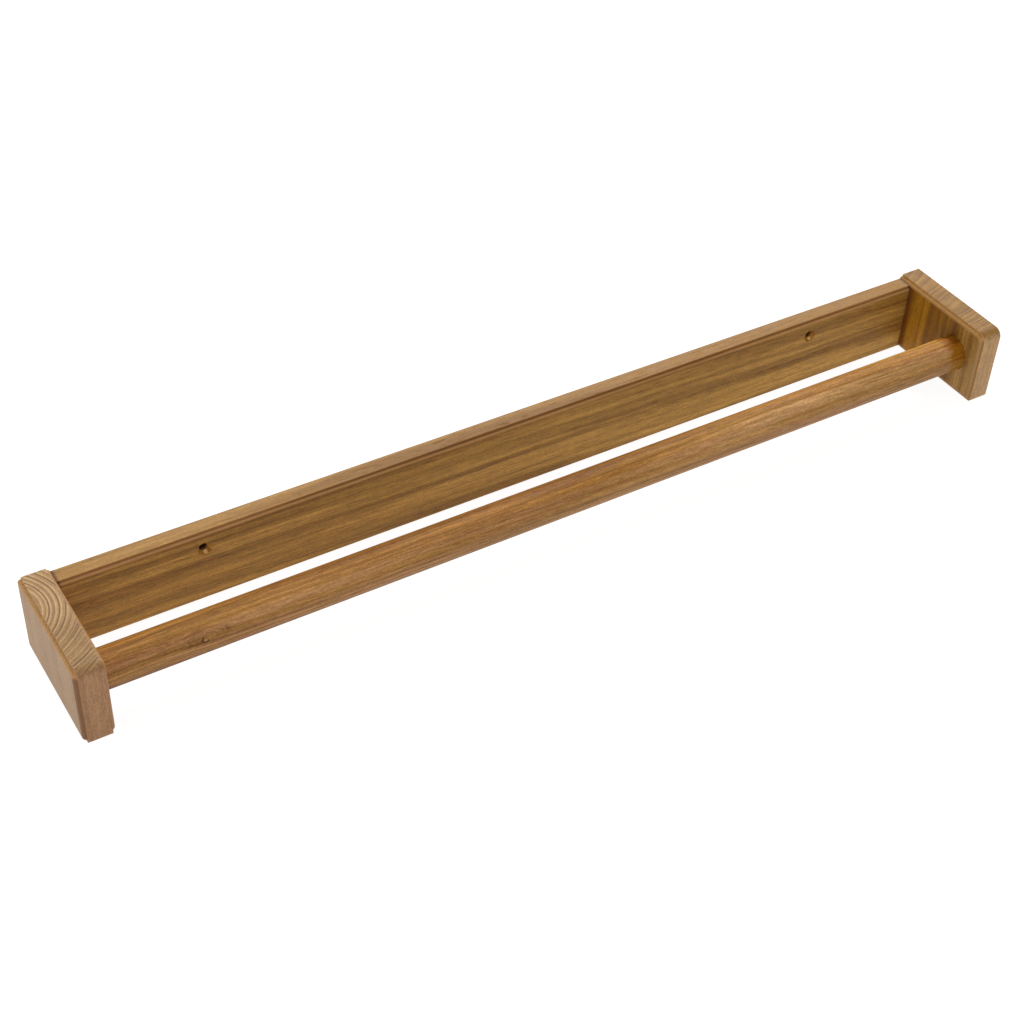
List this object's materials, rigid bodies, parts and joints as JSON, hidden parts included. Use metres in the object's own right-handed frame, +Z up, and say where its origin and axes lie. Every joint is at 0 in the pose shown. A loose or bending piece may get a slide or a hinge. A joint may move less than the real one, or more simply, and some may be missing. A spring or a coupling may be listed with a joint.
{
  "type": "paper towel holder",
  "caption": "Wall-mounted wooden holder: a round bar that turns between two end brackets on a long back board, for towels or paper.",
  "frame": {"origin": "midway between the two screw holes, on the wall plane (the back face of the board)", "axes": "+X along the holder to the right as seen from the front, +Y into the wall, +Z up"},
  "size_m": [0.6, 0.0776, 0.05],
  "materials": {
    "end_bracket_wood": "oiled teak, satin",
    "back_board_wood": "oiled teak, satin",
    "bar_wood": "oiled teak, satin",
    "dowel_pin_wood": "raw beech"
  },
  "bodies": {
    "frame": {"left_end_bracket": "end_bracket_wood", "right_end_bracket": "end_bracket_wood", "back_board": "back_board_wood", "left_upper_dowel_pin": "dowel_pin_wood", "left_lower_dowel_pin": "dowel_pin_wood", "right_upper_dowel_pin": "dowel_pin_wood", "right_lower_dowel_pin": "dowel_pin_wood"},
    "bar": {"towel_bar": "bar_wood"}
  },
  "joints": [
    {"name": "bar_turn", "type": "hinge", "parent": "frame", "child": "bar", "pos_m": [0, -0.0569, -0.0105], "axis": [1, 0, 0], "continuous": true}
  ]
}
